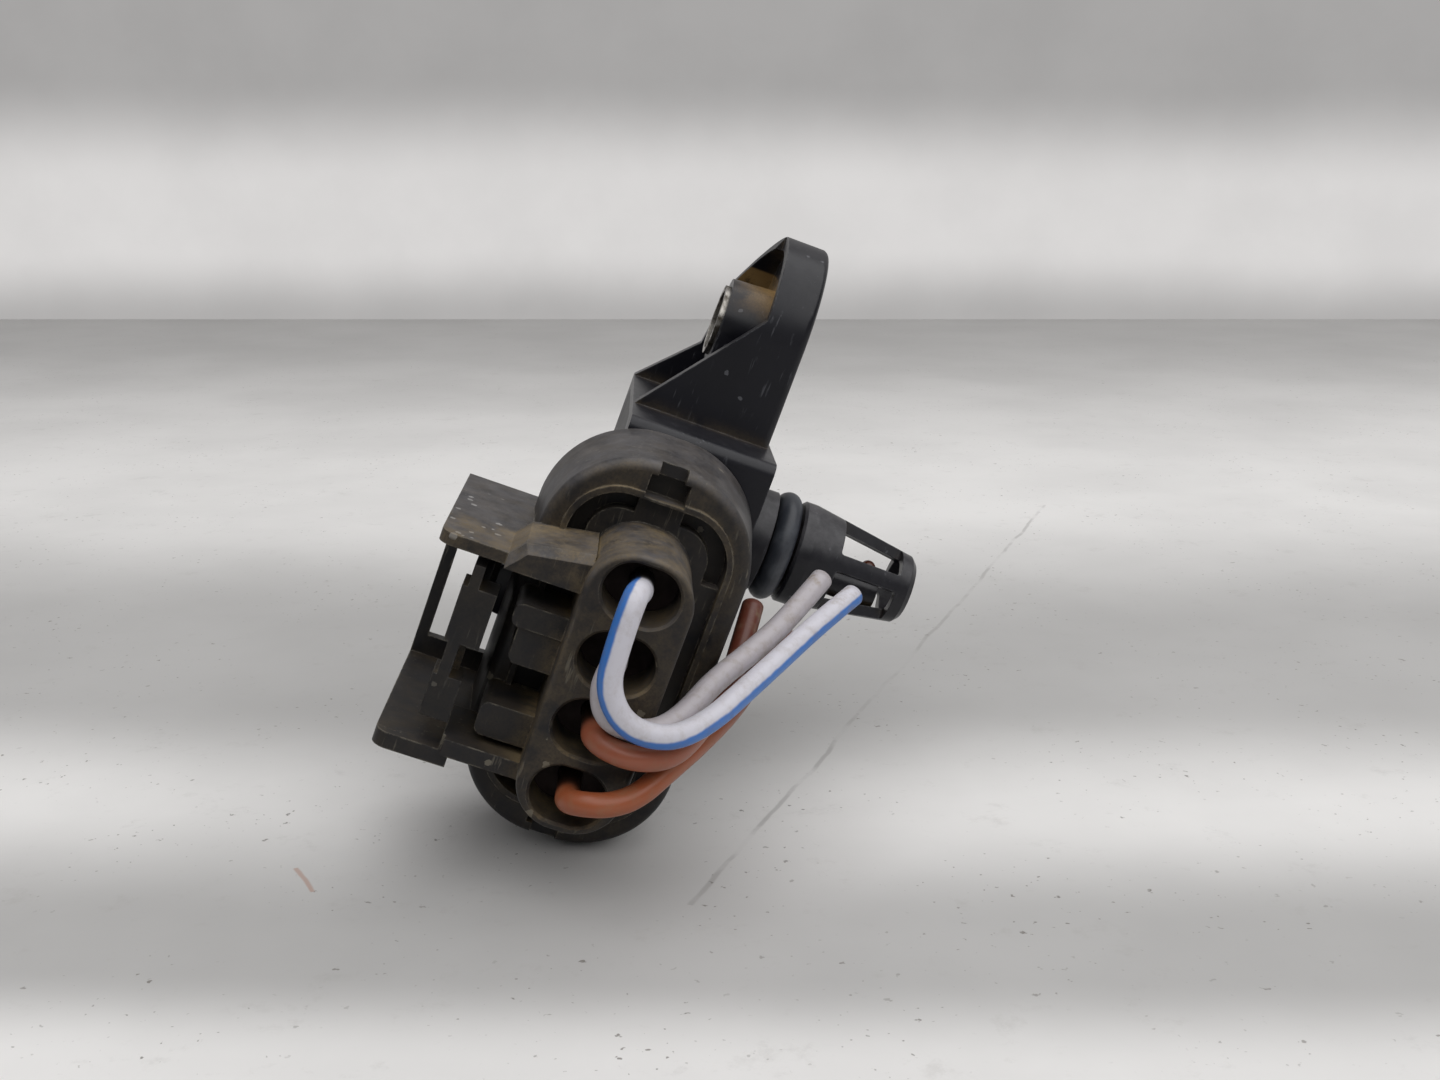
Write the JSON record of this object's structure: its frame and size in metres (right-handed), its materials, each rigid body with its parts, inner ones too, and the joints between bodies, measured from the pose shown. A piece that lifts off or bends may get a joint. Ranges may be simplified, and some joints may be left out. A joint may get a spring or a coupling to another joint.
{
  "type": "manifold pressure and temperature sensor with its plug",
  "caption": "Intake pressure and temperature sensor with slotted nozzle, sealing ring, bolt ear, mated oval plug with guarded latch, and short cut wires.",
  "frame": {"origin": "where the nozzle's axis meets the flange's mounting face", "axes": "-Z down the nozzle, +X from the nozzle to the bolt, -Y the way the wires leave the plug"},
  "size_m": [0.0609, 0.0573, 0.0494],
  "materials": {
    "body_plastic": "satin black glass-filled moulding, dusty",
    "lid_plastic": "satin black moulding",
    "bush_steel": "plated steel, worn",
    "ring_rubber": "smooth black rubber",
    "board_laminate": "green laminate",
    "cell_plastic": "moulded sensing cell",
    "bead_glass": "coated bead and leads",
    "plug_plastic": "satin black moulding with brown dust",
    "latch_plastic": "satin black moulding with brown dust",
    "lock_plastic": "light grey moulding",
    "seal_rubber": "soft silicone rubber",
    "cable_seal_rubber": "soft silicone rubber, dirty",
    "blade_tin": "tinned",
    "terminal_tin": "tinned",
    "wire_white": "white insulation with a blue stripe",
    "wire_grey": "light grey insulation, dirty",
    "wire_orange": "orange insulation, dirty"
  },
  "bodies": {
    "sensor": {"sensor_housing": "body_plastic", "housing_lid": "lid_plastic", "bolt_bush": "bush_steel", "nozzle_ring": "ring_rubber", "circuit_board": "board_laminate", "pressure_cell": "cell_plastic", "thermistor": "bead_glass", "plug_housing": "plug_plastic", "terminal_lock": "lock_plastic", "interface_seal": "seal_rubber", "wire_1": "wire_white", "wire_2": "wire_grey", "wire_3": "wire_orange", "wire_4": "wire_orange", "blade_1": "blade_tin", "terminal_1": "terminal_tin", "cable_seal_1": "cable_seal_rubber", "blade_2": "blade_tin", "terminal_2": "terminal_tin", "cable_seal_2": "cable_seal_rubber", "blade_3": "blade_tin", "terminal_3": "terminal_tin", "cable_seal_3": "cable_seal_rubber", "blade_4": "blade_tin", "terminal_4": "terminal_tin", "cable_seal_4": "cable_seal_rubber"},
    "latch": {"latch_lever": "latch_plastic"}
  },
  "joints": [
    {"name": "latch_press", "type": "hinge", "parent": "sensor", "child": "latch", "pos_m": [-0.01, -0.027, 0.0237], "axis": [1, 0, 0], "range_deg": [0, 8], "stiffness_Nm_per_rad": 0.05, "springref_deg": -2.86}
  ]
}
